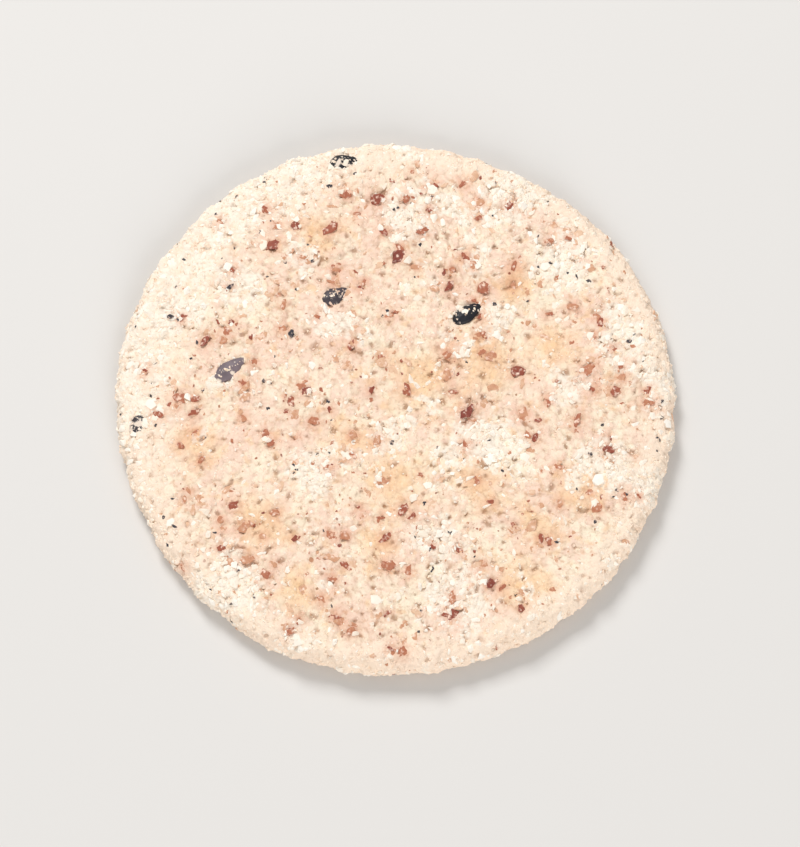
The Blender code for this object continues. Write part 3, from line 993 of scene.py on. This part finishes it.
# %% Bran
material, place = start_finish("bran")
tone = own_value(place, "tone")
streak = place.cloud(0.3 * MM, 3.0, 7.0)
# The darkest stops colour the black specks, partly sesame skin and partly painted shade.
colour = (tone + tone.between(0.0, 0.2) * (streak - 0.5) * 0.4).ramp(
    (0.0, tint(56, 52, 58)), (0.08, tint(66, 52, 50)), (0.16, tint(122, 50, 38)),
    (0.4, tint(158, 84, 60)), (0.6, tint(186, 120, 88)), (0.8, tint(208, 158, 124)),
    (1.0, tint(228, 191, 160)))
colour = place.cloud(0.35 * MM, 3.0, 8.0).between(0.5, 0.72).mix(colour, PEACH)
close_finish(place, colour, 0.6 + 0.25 * streak, streak, 0.05 * MM)
put_on(material, flakes)

# %% [markdown]
# ## Sesame
#
# The seeds are blue-black with a low sheen. A thin film of dough greys some of them, and flour lies
# in the dimples of their skin, most of all on the two at the rim.

# %% Sesame
material, place = start_finish("black_sesame")
skin = place.cloud(0.35 * MM, 3.0, 9.0)
film = own_value(place, "film") * (0.4 + 1.1 * place.cloud(1.2 * MM, 2.0, 16.0))
colour = film.mix(skin.mix(tint(6, 6, 9), tint(36, 38, 46)), tint(150, 132, 138))
dust = (place.cloud(0.65 * MM, 4.0, 10.0) + own_value(place, "dust")).between(0.6, 0.7)
colour = (dust * 0.9).mix(colour, tint(240, 222, 204))
close_finish(place, colour, 0.38 + 0.3 * skin + 0.2 * dust, skin, 0.05 * MM,
             **{"Specular IOR Level": 0.35})
put_on(material, seeds)

# %% [markdown]
# ## Bodies
#
# The part has no joints, so all pieces ride on its one body.

# %% Ride on the part's body
for piece in (body, crumbs, meal, grits, flakes, seeds):
    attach(piece, "root")

# %% [markdown]
# ## Floor, light and camera
#
# The photograph is a bright product shot on white. A soft light stands behind and above, a wider
# one, nearly as strong, in front, and a pale sky fills the shadows. The camera looks down steeply
# from the front, from far enough for almost parallel lines.

# %% Floor
FLOOR_REACH = 1.5
FLOOR_COLOUR = (0.71, 0.69, 0.665, 1.0)
floor_mesh = bpy.data.meshes.new("floor")
corners = [(-1, -1), (1, -1), (1, 1), (-1, 1)]
floor_mesh.from_pydata([(x * FLOOR_REACH, y * FLOOR_REACH, 0) for x, y in corners], [],
                       [(0, 1, 2, 3)])
floor = add_object("floor", floor_mesh)
material, place = start_finish("pale_floor")
close_finish(place, FLOOR_COLOUR, 0.9, **{"Specular IOR Level": 0.0})
put_on(material, floor)
floor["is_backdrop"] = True


# %% Light
def soft_light(name, spot, size, watts):
    """A square light that faces the middle of the cracker: it is tipped by acos(z / distance) and
    turned to the direction from which it shines."""
    data = bpy.data.lights.new(name, "AREA")
    data.size, data.energy = size, watts
    lamp = add_object(name, data)
    distance = math.hypot(*spot)
    lamp.location = spot
    lamp.rotation_euler = (math.acos(spot[2] / distance), 0,
                           math.atan2(spot[1], spot[0]) + math.pi / 2)
    print(name + ":", watts, "W from", round(distance, 2), "m")


soft_light("key", spot=(-0.22, 0.5, 0.53), size=0.25, watts=4.2)
soft_light("fill", spot=(0.2, -0.75, 0.4), size=0.5, watts=4.0)
SKY_STRENGTH = 0.466
world = bpy.data.worlds.new("sky")
world.use_nodes = True
sky = world.node_tree.nodes["Background"].inputs
sky["Color"].default_value, sky["Strength"].default_value = (1.0, 1.0, 1.0, 1.0), SKY_STRENGTH
bpy.context.scene.world = world
bpy.context.scene.view_settings.view_transform = "Standard"

# %% Camera
ELEVATION = math.radians(71.3)
DISTANCE = 0.45
AIM = np.array([0.5, -2.0, 1.5]) * MM
SENSOR_WIDTH_MM = 36
VIEW_WIDTH = 77.5 * MM
camera_data = bpy.data.cameras.new("camera")
camera_data.sensor_fit = "HORIZONTAL"
camera_data.lens = SENSOR_WIDTH_MM * DISTANCE / VIEW_WIDTH
camera_data.clip_start = 0.01
camera = add_object("camera", camera_data)
back = np.array([0, -math.cos(ELEVATION), math.sin(ELEVATION)])
camera.location = AIM + DISTANCE * back
camera.rotation_euler = (math.pi / 2 - ELEVATION, 0, 0)
bpy.context.scene.camera = camera
print("lens:", round(camera_data.lens), "mm")

# %% [markdown]
# ## Measure and finish
#
# The visual model has to stay in the part's box, apart from a small allowance. Both boxes are kept
# and printed.

# %% Print the boxes
visual_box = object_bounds()
for title, box in (("part", cad_box), ("visual", visual_box)):
    print(title, [[round(v / MM, 2) for v in corner] for corner in box])
